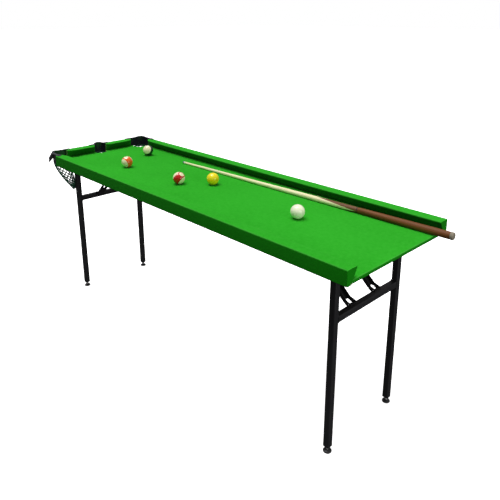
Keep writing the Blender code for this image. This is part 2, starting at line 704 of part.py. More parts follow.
def main():
    for old in list(bpy.data.objects):
        bpy.data.objects.remove(old, do_unlink=True)
    table = Table()
    table.add_pivot("table", (0, 0, 0))
    build_bed(table)
    build_rails(table)
    build_brackets(table)
    for side, sign in SIDE.items():
        sway = (0.012, -sign * 0.060)
        build_net(table, side + "_corner_net", corner_hole(side), BRACKET_RADIUS, sway)
    build_net(table, "middle_net", middle_hole(), MIDDLE_RADIUS, (0.012, 0.0))
    for end in FRAME_X:
        table.add_pivot(end + "_frame", (FRAME_X[end], 0, HINGE_Z))
        build_legs(table, end)
        build_feet(table, end)
        build_lugs(table, end)
        build_lower_braces(table, end)
        build_upper_braces(table, end)
        build_underside_brackets(table, end)
    build_balls(table)
    build_cue(table)


main()
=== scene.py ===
"""Looks for the mini pool table: cloth, timber, black steel, pocket nets, balls and cue.

Everything is in metres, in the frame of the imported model. Each new piece rides on a body,
and stands for the CAD nodes that it replaces.
"""
import json
import math

import bmesh
import bpy
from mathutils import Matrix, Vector


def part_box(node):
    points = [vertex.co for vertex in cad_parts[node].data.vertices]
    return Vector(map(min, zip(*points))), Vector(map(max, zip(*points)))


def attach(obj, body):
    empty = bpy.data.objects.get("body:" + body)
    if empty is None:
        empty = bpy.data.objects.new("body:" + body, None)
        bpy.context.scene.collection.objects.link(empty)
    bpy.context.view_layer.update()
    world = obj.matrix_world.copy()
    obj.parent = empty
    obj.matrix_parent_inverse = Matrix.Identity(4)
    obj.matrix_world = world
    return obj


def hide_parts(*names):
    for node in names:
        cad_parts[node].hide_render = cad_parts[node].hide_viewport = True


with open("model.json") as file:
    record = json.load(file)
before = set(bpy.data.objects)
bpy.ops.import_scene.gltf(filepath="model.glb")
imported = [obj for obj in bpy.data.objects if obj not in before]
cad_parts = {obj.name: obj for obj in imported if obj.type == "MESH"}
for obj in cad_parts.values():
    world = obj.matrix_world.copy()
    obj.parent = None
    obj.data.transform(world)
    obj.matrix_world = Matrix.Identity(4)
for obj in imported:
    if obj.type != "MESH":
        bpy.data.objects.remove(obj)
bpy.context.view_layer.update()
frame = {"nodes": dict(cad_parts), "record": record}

RECORD = frame["record"]
BODY_OF = {node: body for body, nodes in RECORD["behaviour"]["bodies"].items() for node in nodes}
JOINTS = {joint["name"]: joint for joint in RECORD["behaviour"]["joints"]}
ENDS = ("open_end", "pocket_end")
SIDES = {"near": -1, "far": 1}


# ---- numbers read from the frame -----------------------------------------------------------
def middle(node):
    low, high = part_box(node)
    return (Vector(low) + Vector(high)) / 2


def span(node):
    low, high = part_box(node)
    return Vector(low), Vector(high)


BED_LOW, BED_HIGH = span("bed_cloth")
RAIL_LOW, RAIL_HIGH = span("near_side_rail")
NOSE = span("near_side_cushion")[1].y          # y of the near cushion's nose
RAIL_INNER = RAIL_HIGH.y                       # y of the near rail's inner face
OUTER = RAIL_LOW.y                             # y of the near rail's outer face
REACH = NOSE - RAIL_INNER
THICK = RAIL_INNER - OUTER
OPEN_X = RAIL_HIGH.x
POCKET_X = span("near_end_rail")[0].x
RAIL_TOP = RAIL_HIGH.z
RAIL_BOTTOM = RAIL_LOW.z
BED_TOP = BED_HIGH.z
UNDERSIDE = span("bed_board")[0].z

# ---- chosen sizes, metres ------------------------------------------------------------------
WRAP = 0.0009                                  # how far the rail cloth stands off the rail
CORNER_INSET = 0.0525                          # pocket centre to the rails' outer faces
MIDDLE_INSET = 0.0295
POCKETS = {
    "near_corner": Vector((POCKET_X + CORNER_INSET, OUTER + CORNER_INSET, BED_TOP)),
    "far_corner": Vector((POCKET_X + CORNER_INSET, -OUTER - CORNER_INSET, BED_TOP)),
    "middle": Vector((POCKET_X + MIDDLE_INSET, 0, BED_TOP)),
}
HOLE_RADII = {"near_corner": 0.040, "far_corner": 0.040, "middle": 0.034}
NET_SWAY = {"near_corner": (0.012, 0.060), "far_corner": (0.012, -0.060), "middle": (0.012, 0.0)}
SIDE_JAW = 0.075                               # length of the cushion's curve at each kind of jaw
END_JAW_MIDDLE = 0.022
END_JAW_CORNER = 0.060
TUBE_HALF = 0.0125                             # square tube of the legs and crossbars
TUBE_CORNER = 0.003
TUBE_WALL = 0.0015
SPLICE_START = 0.890                           # distances from the cue's tip
SPLICE_LENGTH = 0.200
FERRULE_END = 0.022

# ---- colours, linear -----------------------------------------------------------------------
CLOTH_TOP = (0.021, 0.350, 0.014)
CLOTH_TOP_LIGHT = (0.050, 0.47, 0.036)
CLOTH_TOP_DARK = (0.017, 0.315, 0.011)
# painted shade: darker greens for the cloth's steep faces and for the faces under the cushion's nose
CLOTH_UPRIGHT_PAINTED_SHADE = ((0.0035, 0.205, 0.0015), (0.012, 0.27, 0.008))
CLOTH_UNDERCUT_PAINTED_SHADE = ((0.0015, 0.085, 0.002), (0.006, 0.13, 0.005))
# painted highlight: a lighter green for the cloth's rounded edges
CLOTH_EDGE_PAINTED_HIGHLIGHT = (0.10, 0.50, 0.08)
MAPLE = ((0.92, 0.88, 0.56), (0.80, 0.72, 0.40))
SPLICE_WOOD = ((0.20, 0.085, 0.034), (0.095, 0.036, 0.015))
PALE_RESIN = (0.94, 0.87, 0.56)


# ---- material helpers ----------------------------------------------------------------------
class Nodes:
    """A short way to build a node tree. Inputs are given by name, or by number as i0, i1 and so on,
    and may be numbers, tuples or sockets."""

    def __init__(self, name):
        self.material = bpy.data.materials.new(name)
        self.material.use_nodes = True
        self.tree = self.material.node_tree
        self.shader = self.tree.nodes["Principled BSDF"]
        self.where = self.tree.nodes.new("ShaderNodeTexCoord").outputs["Object"]

    def put(self, socket, value):
        if isinstance(value, bpy.types.NodeSocket):
            self.tree.links.new(value, socket)
        elif isinstance(value, tuple) and len(value) == 3 and socket.type == "RGBA":
            socket.default_value = (*value, 1)
        else:
            socket.default_value = value

    def node(self, kind, output=0, settings=(), **inputs):
        made = self.tree.nodes.new("ShaderNode" + kind)
        for key, value in dict(settings).items():
            setattr(made, key, value)
        for key, value in inputs.items():
            wanted = key.replace("_", " ")
            index = int(wanted[1:]) if wanted[0] == "i" and wanted[1:].isdigit() else None
            self.put(made.inputs[wanted.title()] if index is None else made.inputs[index], value)
        return made.outputs[output]

    def math(self, operation, a, b=0.0):
        return self.node("Math", 0, {"operation": operation}, i0=a, i1=b)

    def vector(self, operation, a, b, output=0):
        return self.node("VectorMath", output, {"operation": operation}, i0=a, i1=b)

    def noise(self, scale, detail=3.0, where=None, roughness=0.55):
        return self.node("TexNoise", 0, vector=where or self.where, scale=scale, detail=detail,
                         roughness=roughness)

    def stretched(self, scale):
        return self.node("Mapping", 0, vector=self.where, scale=scale)

    def ramp(self, factor, low, high, a, b):
        """Runs from a to b as factor goes from low to high."""
        return self.node("MapRange", 0, {"clamp": True}, i0=factor, i1=low, i2=high, i3=a, i4=b)

    def mix(self, factor, a, b):
        return self.node("Mix", 2, {"data_type": "RGBA"}, i0=factor, i6=a, i7=b)

    def bump(self, height, distance, strength):
        return self.node("Bump", 0, height=height, distance=distance, strength=strength)

    def finish(self, colour, roughness, normal=None, **constants):
        self.put(self.shader.inputs["Base Color"], colour)
        self.put(self.shader.inputs["Roughness"], roughness)
        if normal is not None:
            self.put(self.shader.inputs["Normal"], normal)
        for key, value in constants.items():
            self.put(self.shader.inputs[key.replace("_", " ")], value)
        return self.material


# ---- materials -----------------------------------------------------------------------------
def cloth_colour(n, base, light, dark):
    """Colour of level cloth, with slow changes of shade, mottling and pale fuzz. Also the fuzz."""
    slow = n.noise(3.5, 2)
    mottled = n.noise(70, 4)
    fuzz = n.noise(900, 3, roughness=0.7)
    colour = n.mix(n.ramp(slow, 0.35, 0.65, 0.0, 1.0), dark, base)
    colour = n.mix(n.ramp(mottled, 0.35, 0.75, 0.0, 0.35), colour, light)
    return n.mix(n.ramp(fuzz, 0.45, 0.8, 0.0, 0.30), colour, light), fuzz


def cloth_material(name):
    """Napped wool cloth: a fine twill under short fuzz. Steep faces get a darker green and the faces
    under the cushion's nose a darker one still, both painted shade; the rounded edges get a lighter green, a
    painted highlight."""
    n = Nodes(name)
    across = n.node("TexWave", 1, {"wave_type": "BANDS", "bands_direction": "DIAGONAL"}, vector=n.where,
                    scale=330.0, distortion=1.2, detail=1.0)
    colour, fuzz = cloth_colour(n, CLOTH_TOP, CLOTH_TOP_LIGHT, CLOTH_TOP_DARK)
    level = n.node("SeparateXYZ", "Z", i0=n.node("NewGeometry", "Normal"))
    # painted shade: the steep and overhung faces take darker greens, chosen by how far each face tilts
    upright_shade = n.mix(n.ramp(fuzz, 0.3, 0.8, 0.0, 1.0), *CLOTH_UPRIGHT_PAINTED_SHADE)
    undercut_shade = n.mix(n.ramp(fuzz, 0.3, 0.8, 0.0, 1.0), *CLOTH_UNDERCUT_PAINTED_SHADE)
    # painted highlight: the half-tilted faces of the rounded edges are picked out here
    edge = n.math("MULTIPLY", n.ramp(level, 0.25, 0.5, 0.0, 1.0), n.ramp(level, 0.8, 0.95, 1.0, 0.0))
    side = n.mix(n.ramp(level, -0.5, -0.1, 0.0, 1.0), undercut_shade, upright_shade)
    # level faces keep the cloth's own colour, steep faces get the painted shade
    colour = n.mix(n.ramp(level, 0.2, 0.85, 0.0, 1.0), side, colour)
    # the painted highlight is mixed in along the rounded edges
    colour = n.mix(n.math("MULTIPLY", edge, 0.3), colour, CLOTH_EDGE_PAINTED_HIGHLIGHT)
    height = n.math("ADD", n.math("MULTIPLY", fuzz, 0.7), n.math("MULTIPLY", across, 0.3))
    normal = n.bump(height, 0.0006, 0.35)
    return n.finish(colour, n.ramp(fuzz, 0.3, 0.7, 0.86, 0.97), normal, Specular_IOR_Level=0.03,
                    Sheen_Weight=0.06, Sheen_Roughness=0.5, Sheen_Tint=(0.35, 0.9, 0.35, 1))


def timber_material(name, light, dark, grain, roughness, along=(1.0, 1.0, 1.0)):
    """Wood with grain lines, pores and broad bands. along draws the pattern out along the grain."""
    n = Nodes(name)
    stretched = n.stretched(along)
    broad = n.noise(grain * 0.18, 4, stretched)
    wobble = n.vector("ADD", stretched, n.node("TexNoise", 1, vector=stretched, scale=grain * 0.1))
    lines = n.noise(grain, 6, wobble, 0.65)
    pores = n.noise(grain * 4, 2, stretched, 0.8)
    colour = n.mix(n.ramp(lines, 0.35, 0.68, 0.0, 1.0), light, dark)
    colour = n.mix(n.ramp(broad, 0.35, 0.7, 0.0, 0.45), colour, dark)
    colour = n.mix(n.ramp(pores, 0.62, 0.75, 0.0, 0.45), colour, tuple(c * 0.35 for c in dark))
    normal = n.bump(n.math("ADD", lines, pores), 0.0002, 0.3)
    return n.finish(colour, n.ramp(lines, 0.3, 0.7, roughness, roughness + 0.12), normal,
                    Specular_IOR_Level=0.25)


def painted_steel():
    """Satin black powder coat with a fine orange-peel texture, dust and slightly worn edges."""
    n = Nodes("black_powder_coat")
    peel = n.noise(1500, 2)
    dust = n.noise(16, 5, roughness=0.7)
    speckle = n.noise(420, 2)
    edge = n.ramp(n.node("NewGeometry", "Pointiness"), 0.52, 0.62, 0.0, 0.35)
    colour = n.mix(n.ramp(dust, 0.4, 0.8, 0.0, 0.6), (0.0075, 0.0075, 0.0085), (0.016, 0.016, 0.018))
    colour = n.mix(n.ramp(speckle, 0.66, 0.74, 0.0, 0.4), colour, (0.04, 0.04, 0.045))
    colour = n.mix(edge, colour, (0.06, 0.06, 0.065))
    normal = n.bump(peel, 0.0003, 0.35)
    return n.finish(colour, n.ramp(dust, 0.3, 0.75, 0.34, 0.5), normal, Specular_IOR_Level=0.35)


def zinc_material():
    n = Nodes("zinc_plate")
    cloud = n.noise(60, 4)
    scratch = n.noise(300, 3, n.stretched((1.0, 1.0, 0.12)))
    colour = n.mix(n.ramp(cloud, 0.35, 0.7, 0.0, 1.0), (0.42, 0.42, 0.43), (0.62, 0.62, 0.60))
    normal = n.bump(scratch, 0.0001, 0.25)
    return n.finish(colour, n.ramp(cloud, 0.3, 0.7, 0.3, 0.48), normal, Metallic=1.0)


def moulded_plastic(name, colour, roughness, grain=1400.0, coat=0.0):
    n = Nodes(name)
    texture = n.noise(grain, 2)
    smear = n.noise(22, 4, roughness=0.65)
    lighter = tuple(min(1.0, c * 1.9 + 0.004) for c in colour)
    shade = n.mix(n.ramp(smear, 0.4, 0.8, 0.0, 0.5), colour, lighter)
    normal = n.bump(texture, 0.0002, 0.3)
    return n.finish(shade, n.ramp(smear, 0.3, 0.7, roughness, roughness + 0.14), normal, Coat_Weight=coat,
                    Coat_Roughness=0.15)


def cord_material():
    """Twisted dark green nylon cord."""
    n = Nodes("net_cord")
    twist = n.node("TexWave", 1, {"wave_type": "BANDS", "bands_direction": "DIAGONAL"}, vector=n.where,
                   scale=260.0, distortion=2.0, detail=2.0)
    shade = n.noise(90, 3)
    colour = n.mix(n.ramp(shade, 0.35, 0.7, 0.0, 1.0), (0.006, 0.095, 0.046), (0.016, 0.185, 0.092))
    # painted shade: the grooves between the twisted strands are darkened
    colour = n.mix(n.ramp(twist, 0.0, 0.5, 0.5, 0.0), colour, (0.002, 0.028, 0.015))
    return n.finish(colour, 0.62, n.bump(twist, 0.0006, 0.6), Sheen_Weight=0.2)


def rubber_material():
    n = Nodes("rubber")
    fine = n.noise(500, 3)
    colour = n.mix(n.ramp(fine, 0.35, 0.7, 0.0, 1.0), (0.20, 0.17, 0.12), (0.32, 0.28, 0.21))
    return n.finish(colour, n.ramp(fine, 0.3, 0.7, 0.6, 0.8), n.bump(fine, 0.0003, 0.4))


def ball_material(name, centre, radius, colour, pole, disc):
    """Polished resin. pole: the stripe's axis. disc: direction of the number's pale disc."""
    n = Nodes(name)
    offset = n.vector("SUBTRACT", n.where, tuple(centre))
    unit = n.vector("DIVIDE", offset, (radius, radius, radius))
    cloud = n.noise(45, 3)
    base = n.mix(n.ramp(cloud, 0.3, 0.75, 0.0, 0.35), colour, tuple(c * 0.8 for c in colour))
    if pole is not None:
        height = n.vector("DOT_PRODUCT", unit, tuple(Vector(pole).normalized()), 1)
        outside = n.ramp(n.math("ABSOLUTE", height), 0.545, 0.56, 0.0, 1.0)
        base = n.mix(outside, base, PALE_RESIN)
    if disc is not None:
        facing = n.vector("DOT_PRODUCT", unit, tuple(Vector(disc).normalized()), 1)
        base = n.mix(n.ramp(facing, 0.905, 0.912, 0.0, 1.0), base, PALE_RESIN)
    scuff = n.noise(30, 5, roughness=0.75)
    return n.finish(base, n.ramp(scuff, 0.35, 0.8, 0.12, 0.24), n.bump(scuff, 0.00005, 0.15), Coat_Weight=0.3,
                    Coat_Roughness=0.04, Specular_IOR_Level=0.5)


def spliced_shaft(tip, direction):
    """Pale maple that meets dark wood in two long points, as a hand-spliced cue does."""
    n = Nodes("spliced_maple")
    side = direction.cross(Vector((0, 0, 1))).normalized()
    top = side.cross(direction)
    offset = n.vector("SUBTRACT", n.where, tuple(tip))
    along = n.vector("DOT_PRODUCT", offset, tuple(direction), 1)
    a = n.vector("DOT_PRODUCT", offset, tuple(side), 1)
    b = n.vector("DOT_PRODUCT", offset, tuple(top), 1)
    quarter_turns = n.math("MULTIPLY", n.math("ARCTAN2", b, a), 2 / math.pi)
    saw = n.math("PINGPONG", n.math("ADD", quarter_turns, 1.15), 1.0)
    edge = n.math("ADD", n.math("MULTIPLY", saw, SPLICE_LENGTH), SPLICE_START)
    dark = n.ramp(n.math("SUBTRACT", along, edge), -0.0015, 0.0015, 0.0, 1.0)
    lines = n.noise(9, 6, n.stretched((1.5, 40.0, 40.0)), 0.6)
    pale = n.mix(n.ramp(lines, 0.35, 0.7, 0.0, 1.0), *MAPLE)
    brown = n.mix(n.ramp(lines, 0.35, 0.7, 0.0, 1.0), *SPLICE_WOOD)
    normal = n.bump(lines, 0.0001, 0.25)
    return n.finish(n.mix(dark, pale, brown), n.ramp(lines, 0.3, 0.7, 0.40, 0.52), normal, Coat_Weight=0.1,
                    Coat_Roughness=0.2, Specular_IOR_Level=0.3)


GREEN = cloth_material("baize")
BOARD = timber_material("raw_fibreboard", (0.40, 0.27, 0.15), (0.30, 0.19, 0.10), 60.0, 0.72)
PINE = timber_material("rail_pine", (0.62, 0.44, 0.24), (0.42, 0.26, 0.12), 30.0, 0.65, (0.1, 1.0, 1.0))
BLACK_STEEL = painted_steel()
ZINC = zinc_material()
POCKET_BLACK = moulded_plastic("pocket_plastic", (0.010, 0.011, 0.019), 0.24, 900.0, coat=0.5)
BLACK_PLASTIC = moulded_plastic("black_plastic", (0.010, 0.010, 0.011), 0.42)
CORD = cord_material()
RUBBER = rubber_material()
IVORY = moulded_plastic("ferrule_ivory", (0.72, 0.68, 0.52), 0.2, 600.0, coat=0.4)
CHALKED = moulded_plastic("chalked_leather", (0.045, 0.11, 0.17), 0.85, 300.0)
INK = Nodes("ball_ink").finish((0.012, 0.012, 0.014), 0.2)


# ---- mesh helpers --------------------------------------------------------------------------
def arc(centre, radius, start, end, steps):
    angles = [math.radians(start + (end - start) * i / steps) for i in range(steps + 1)]
    return [(centre[0] + radius * math.cos(a), centre[1] + radius * math.sin(a)) for a in angles]


def piece(name, bm, material, body, replaced=(), smooth=35, bevel=0.0, solid=0.0, keep=False):
    """Turns bm into a shown piece that rides on body. bevel and solid are widths in metres."""
    mesh = bpy.data.meshes.new(name)
    if not keep:
        bmesh.ops.recalc_face_normals(bm, faces=bm.faces)
    bm.to_mesh(mesh)
    bm.free()
    mesh.materials.append(material)
    mesh.shade_smooth()
    mesh.set_sharp_from_angle(angle=math.radians(smooth))
    made = bpy.data.objects.new(name, mesh)
    bpy.context.collection.objects.link(made)
    if solid:
        modifier = made.modifiers.new("thickness", "SOLIDIFY")
        modifier.thickness = solid
        modifier.offset = -1
    if bevel:
        modifier = made.modifiers.new("edges", "BEVEL")
        modifier.width = bevel
        modifier.segments = 2
        modifier.limit_method = "ANGLE"
        modifier.angle_limit = math.radians(35)
        modifier.harden_normals = True
    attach(made, body)
    if replaced:
        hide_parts(*replaced)
    return made


def refined(node, material, bevel):
    """A copy of a CAD node with its flat faces joined and its edges rounded."""
    bm = bmesh.new()
    bm.from_mesh(frame["nodes"][node].data)
    bmesh.ops.remove_doubles(bm, verts=bm.verts, dist=1e-6)
    bmesh.ops.dissolve_limit(bm, angle_limit=math.radians(0.6), verts=bm.verts, edges=bm.edges)
    piece(node + "_finished", bm, material, BODY_OF[node], (node,), bevel=bevel)


def skin(bm, rows, closed=False):
    """Quads between rows of points. closed joins each row's last point to its first."""
    made = [[bm.verts.new(point) for point in row] for row in rows]
    count = len(made[0])
    for low, high in zip(made, made[1:]):
        for i in range(count if closed else count - 1):
            j = (i + 1) % count
            bm.faces.new((low[i], low[j], high[j], high[i]))
    return made


def closed_skin(bm, rows):
    """A tube of quads through rows of points, with a flat face at each end."""
    made = skin(bm, rows, closed=True)
    bm.faces.new(made[0])
    bm.faces.new(made[-1])


def ring(centre, across, other, radius, count):
    turn = [2 * math.pi * i / count for i in range(count)]
    return [centre + (across * math.cos(a) + other * math.sin(a)) * radius for a in turn]


def turned(bm, profile, start, direction, segments):
    """Body of revolution with flat ends. profile: (distance, radius) pairs along direction."""
    axis = Vector(direction).normalized()
    across = axis.orthogonal().normalized()
    other = axis.cross(across)
    rows = []
    for distance, radius in profile:
        rows.append(ring(Vector(start) + axis * distance, across, other, radius, segments))
    closed_skin(bm, rows)


def sphere(bm, centre, radius):
    """Rows of quads between two poles, made in the same order on every run."""
    segments, rings = 64, 32
    rows = []
    for k in range(1, rings):
        angle = math.pi * k / rings
        level = centre + Vector((0, 0, radius * math.cos(angle)))
        rows.append(ring(level, Vector((1, 0, 0)), Vector((0, 1, 0)), radius * math.sin(angle), segments))
    made = skin(bm, rows, closed=True)
    for row, height in ((made[0], radius), (made[-1], -radius)):
        pole = bm.verts.new(centre + Vector((0, 0, height)))
        for i in range(segments):
            bm.faces.new((pole, row[i], row[(i + 1) % segments]))


def block(bm, low, high):
    corners = [Vector((x, y, z)) for z in (low[2], high[2]) for x, y in
               ((low[0], low[1]), (high[0], low[1]), (high[0], high[1]), (low[0], high[1]))]
    closed_skin(bm, [corners[:4], corners[4:]])


def dome(radius, height):
    """Profile of a rounded head, from its seat to its crown."""
    steps = 5
    points = [(0.0, radius)]
    for k in range(1, steps + 1):
        angle = math.pi / 2 * k / steps
        points.append((height * math.sin(angle), max(radius * math.cos(angle), 0.0002)))
    return points


def cross_screw(bm, place, direction, radius):
    """Pan-head screw whose recess is a shallow dish."""
    profile = [(0, radius), (radius * 0.35, radius * 0.95), (radius * 0.55, radius * 0.7),
               (radius * 0.6, radius * 0.35), (radius * 0.3, radius * 0.2), (radius * 0.28, 0.0001)]
    turned(bm, profile, place, direction, 20)


# ---- cloth ---------------------------------------------------------------------------------
def rail_section(share):
    """Cloth round a rail and its cushion, as (distance from the outer face, z). share: of full reach."""
    lower_round, upper_round, nose_round = 0.003, 0.005, 0.004
    slack = 0.0003                             # the cloth bows off the tall outer face
    crown = 0.0004                             # and over the top
    points = [(0.019, RAIL_BOTTOM - WRAP), (0.010, RAIL_BOTTOM - WRAP)]
    points += arc((lower_round, RAIL_BOTTOM + lower_round), lower_round + WRAP, 270, 180, 4)
    points += [(-WRAP - slack, RAIL_BOTTOM + 0.018), (-WRAP - slack, RAIL_TOP - 0.020)]
    points += arc((upper_round, RAIL_TOP - upper_round), upper_round + WRAP, 180, 90, 6)
    nose = THICK + REACH * share - nose_round
    for k in (1, 2, 3, 4):
        rise = crown * math.sin(math.pi * k / 5)
        points.append((upper_round + (nose - upper_round) * k / 5, RAIL_TOP + WRAP + rise))
    points += arc((nose, RAIL_TOP - nose_round - slack), nose_round + WRAP, 90, -30, 8)
    foot = THICK + 0.004 * min(1.0, share * 1.4) + WRAP
    drop = BED_TOP + 0.0006
    last = points[-1]
    for k in (1, 2, 3, 4):
        points.append((last[0] + (foot - last[0]) * k / 4, last[1] + (drop - last[1]) * k / 4))
    return points


def even_shading(cloth):
    weighted = cloth.modifiers.new("flat faces", "WEIGHTED_NORMAL")
    weighted.keep_sharp = True


def cloth_perimeter():
    points = [Vector((a, b)) for a, b in rail_section(1.0)]
    return sum((b - a).length for a, b in zip(points, points[1:]))


def rail_stations(length, start_jaw, end_jaw):
    """(distance, share) along a rail: the cushion curves back to the rail at each jaw."""
    least, steps = 0.10, 9
    rise = [(math.pi / 2 * k / steps) for k in range(steps + 1)]
    stations = []
    if start_jaw:
        stations += [(start_jaw * (1 - math.cos(a)), least + (1 - least) * math.sin(a)) for a in rise]
    else:
        stations.append((0.0, 1.0))
    last = length - end_jaw
    first = stations[-1][0]
    spaces = max(2, int((last - first) / 0.05))
    stations += [(first + (last - first) * k / spaces, 1.0) for k in range(1, spaces)]
    if end_jaw:
        stations += [(length - end_jaw * (1 - math.sin(a)), least + (1 - least) * math.cos(a)) for a in rise]
    else:
        stations.append((length, 1.0))
    return stations


def rail_cloth(name, stations, place):
    """One sheet round a rail and its cushion, folded over both ends.

    place maps (along, distance from the outer face, z) to the world.
    """
    bm = bmesh.new()
    first, last = stations[0][0], stations[-1][0]
    first_share, last_share = stations[0][1], stations[-1][1]
    end_inset, edge_inset, fold = 0.0022, 0.0007, 0.0025

    def shrunk(share, inset):
        section = [Vector(p) for p in rail_section(share)]
        centre = sum(section, Vector((0, 0))) / len(section)
        return [p + (centre - p).normalized() * inset for p in section]

    rows = [(first - WRAP, first_share, end_inset), (first - WRAP + edge_inset, first_share, edge_inset)]
    rows.append((first + fold, first_share, 0.0))
    rows += [(along, share, 0.0) for along, share in stations[1:-1]]
    rows.append((last - fold, last_share, 0.0))
    rows += [(last + WRAP - edge_inset, last_share, edge_inset), (last + WRAP, last_share, end_inset)]
    points = []
    for along, share, inset in rows:
        points.append([place(along, p.x, p.y) for p in shrunk(share, inset)])
    made = skin(bm, points)
    bm.faces.new(made[0])
    bm.faces.new(made[-1])
    cloth = piece(name, bm, GREEN, "table", smooth=50, solid=0.0006)
    even_shading(cloth)
    width = cloth_perimeter()


def build_rail_cloths():
    side_start = RAIL_LOW.x
    for side, sign in SIDES.items():
        stations = rail_stations(OPEN_X - side_start, SIDE_JAW, 0)
        rail_cloth(f"{side}_side_rail_cloth", stations,
                   lambda along, d, z: (side_start + along, sign * (-OUTER - d), z))
        low, high = span(f"{side}_end_rail")
        inner, outer = sorted((abs(low.y), abs(high.y)))
        stations = rail_stations(outer - inner, END_JAW_MIDDLE, END_JAW_CORNER)
        rail_cloth(f"{side}_end_rail_cloth", stations,
                   lambda along, d, z: (POCKET_X + d, sign * (inner + along), z))


def notch(name, extra, start, end):
    """Arc round a pocket, extra metres outside its hole, as (x, y) points."""
    centre, radius = POCKETS[name], HOLE_RADII[name] + extra
    return arc((centre.x, centre.y), radius, start, end, 24)


def build_bed_cloth():
    """Stretched over the board, turned down at the pockets and round the open edge."""
    lip = 0.003
    half = BED_HIGH.y
    start = BED_LOW.x
    fold = 0.0055
    flat_end = BED_HIGH.x - fold
    corner = POCKETS["far_corner"]
    corner_radius = HOLE_RADII["far_corner"] + lip
    to_side = math.degrees(math.asin((half - corner.y) / corner_radius))
    to_end = math.degrees(math.acos((start - corner.x) / corner_radius))
    reach = math.degrees(math.acos((start - POCKETS["middle"].x) / (HOLE_RADII["middle"] + lip)))
    cuts = (("near_corner", -to_side, to_end), ("middle", -reach, reach), ("far_corner", -to_end, to_side))
    outline = [(flat_end, -half)]
    for name, low, high in cuts:
        outline += notch(name, lip, low, high)
    outline.append((flat_end, half))
    bm = bmesh.new()
    bm.faces.new([bm.verts.new((x, y, BED_TOP)) for x, y in outline])
    steps = 5
    for name, low, high in cuts:
        rows = [[(x, y, BED_TOP) for x, y in notch(name, lip, low, high)]]
        for k in range(1, steps + 1):
            angle = math.pi / 2 * k / steps
            ring = notch(name, lip * (1 - math.sin(angle)), low, high)
            rows.append([(x, y, BED_TOP - lip * (1 - math.cos(angle))) for x, y in ring])
        rows.append([(x, y, UNDERSIDE + 0.001) for x, y in notch(name, 0, low, high)])
        skin(bm, rows)
    profile = arc((flat_end, BED_TOP - fold), fold, 90, 0, 6)
    bottom = BED_LOW.z
    profile += arc((flat_end, bottom + fold), fold, 0, -90, 6)
    profile += [(flat_end - 0.010, bottom), (flat_end - 0.024, bottom)]
    spaces = 40
    rows = []
    for x, z in profile:
        rows.append([(x, -half + 2 * half * k / spaces, z) for k in range(spaces + 1)])
    skin(bm, rows)
    bmesh.ops.remove_doubles(bm, verts=bm.verts, dist=1e-5)
    cloth = piece("bed_cloth_sheet", bm, GREEN, "table", ("bed_cloth",), smooth=60)
    even_shading(cloth)


# ---- stage ---------------------------------------------------------------------------------
def build_stage():
    bm = bmesh.new()
    size = 60
    skin(bm, [[(-size, -size, 0), (size, -size, 0)], [(-size, size, 0), (size, size, 0)]])
    mesh = bpy.data.meshes.new("studio_floor")
    bm.to_mesh(mesh)
    bm.free()
    floor = bpy.data.objects.new("studio_floor", mesh)
    paint = Nodes("studio_floor").finish((0.93, 0.93, 0.93), 0.9, Specular_IOR_Level=0.1,
                                         Emission_Strength=0.9)
    mesh.materials.append(paint)
    bpy.context.collection.objects.link(floor)
    floor.visible_diffuse = False
    floor.visible_glossy = False
    build_world()
    build_lamp("overhead", "SUN", (-0.16, -0.12, 1.0), (0, 0, 0), 2.75)
    fill = build_lamp("open_end_fill", "AREA", (4.6, -0.1, 1.1), (0.9, 0.0, 0.6), 60)
    fill.shape = "RECTANGLE"
    fill.size, fill.size_y = 2.6, 2.0


def build_world():
    """Sky light that is strongest from above and weak from below; the camera sees plain white."""
    world = bpy.data.worlds.new("studio")
    bpy.context.scene.world = world
    world.use_nodes = True
    tree = world.node_tree
    seen = tree.nodes["Background"]
    seen.inputs["Color"].default_value = (1, 1, 1, 1)
    seen.inputs["Strength"].default_value = 1.0
    lit = tree.nodes.new("ShaderNodeBackground")
    direction = tree.nodes.new("ShaderNodeTexCoord")
    parts = tree.nodes.new("ShaderNodeSeparateXYZ")
    tree.links.new(direction.outputs["Generated"], parts.inputs[0])
    strength = tree.nodes.new("ShaderNodeMapRange")
    for index, value in enumerate((-0.35, 0.5, 0.05, 0.42), 1):
        strength.inputs[index].default_value = value
    tree.links.new(parts.outputs["Z"], strength.inputs[0])
    tree.links.new(strength.outputs[0], lit.inputs["Strength"])
    path = tree.nodes.new("ShaderNodeLightPath")
    mix = tree.nodes.new("ShaderNodeMixShader")
    tree.links.new(path.outputs["Is Camera Ray"], mix.inputs[0])
    tree.links.new(lit.outputs[0], mix.inputs[1])
    tree.links.new(seen.outputs[0], mix.inputs[2])
    tree.links.new(mix.outputs[0], tree.nodes["World Output"].inputs[0])


def build_lamp(name, kind, place, target, power):
    data = bpy.data.lights.new(name, kind)
    data.energy = power
    if kind == "SUN":
        data.angle = math.radians(40)
    lamp = bpy.data.objects.new(name, data)
    lamp.location = place
    lamp.rotation_mode = "QUATERNION"
    lamp.rotation_quaternion = (Vector(target) - Vector(place)).to_track_quat("-Z", "Y")
    bpy.context.collection.objects.link(lamp)
    return data


def build_camera():
    """Looks down the table from beyond its open end. The lens shift lowers the table in the frame
    without tilting the legs further."""
    yaw, pitch = math.radians(135.94), math.radians(16.23)
    look = Vector((math.cos(yaw) * math.cos(pitch), math.sin(yaw) * math.cos(pitch), -math.sin(pitch)))
    data = bpy.data.cameras.new("camera")
    data.sensor_width = 36
    data.lens = 39.37
    data.shift_y = -0.15
    data.clip_end = 200
    camera = bpy.data.objects.new("camera", data)
    camera.location = (1.822, -1.522, 1.514)
    camera.rotation_mode = "QUATERNION"
    camera.rotation_quaternion = look.to_track_quat("-Z", "Y")
    bpy.context.collection.objects.link(camera)
    bpy.context.scene.camera = camera
    bpy.context.scene.view_settings.view_transform = "Standard"


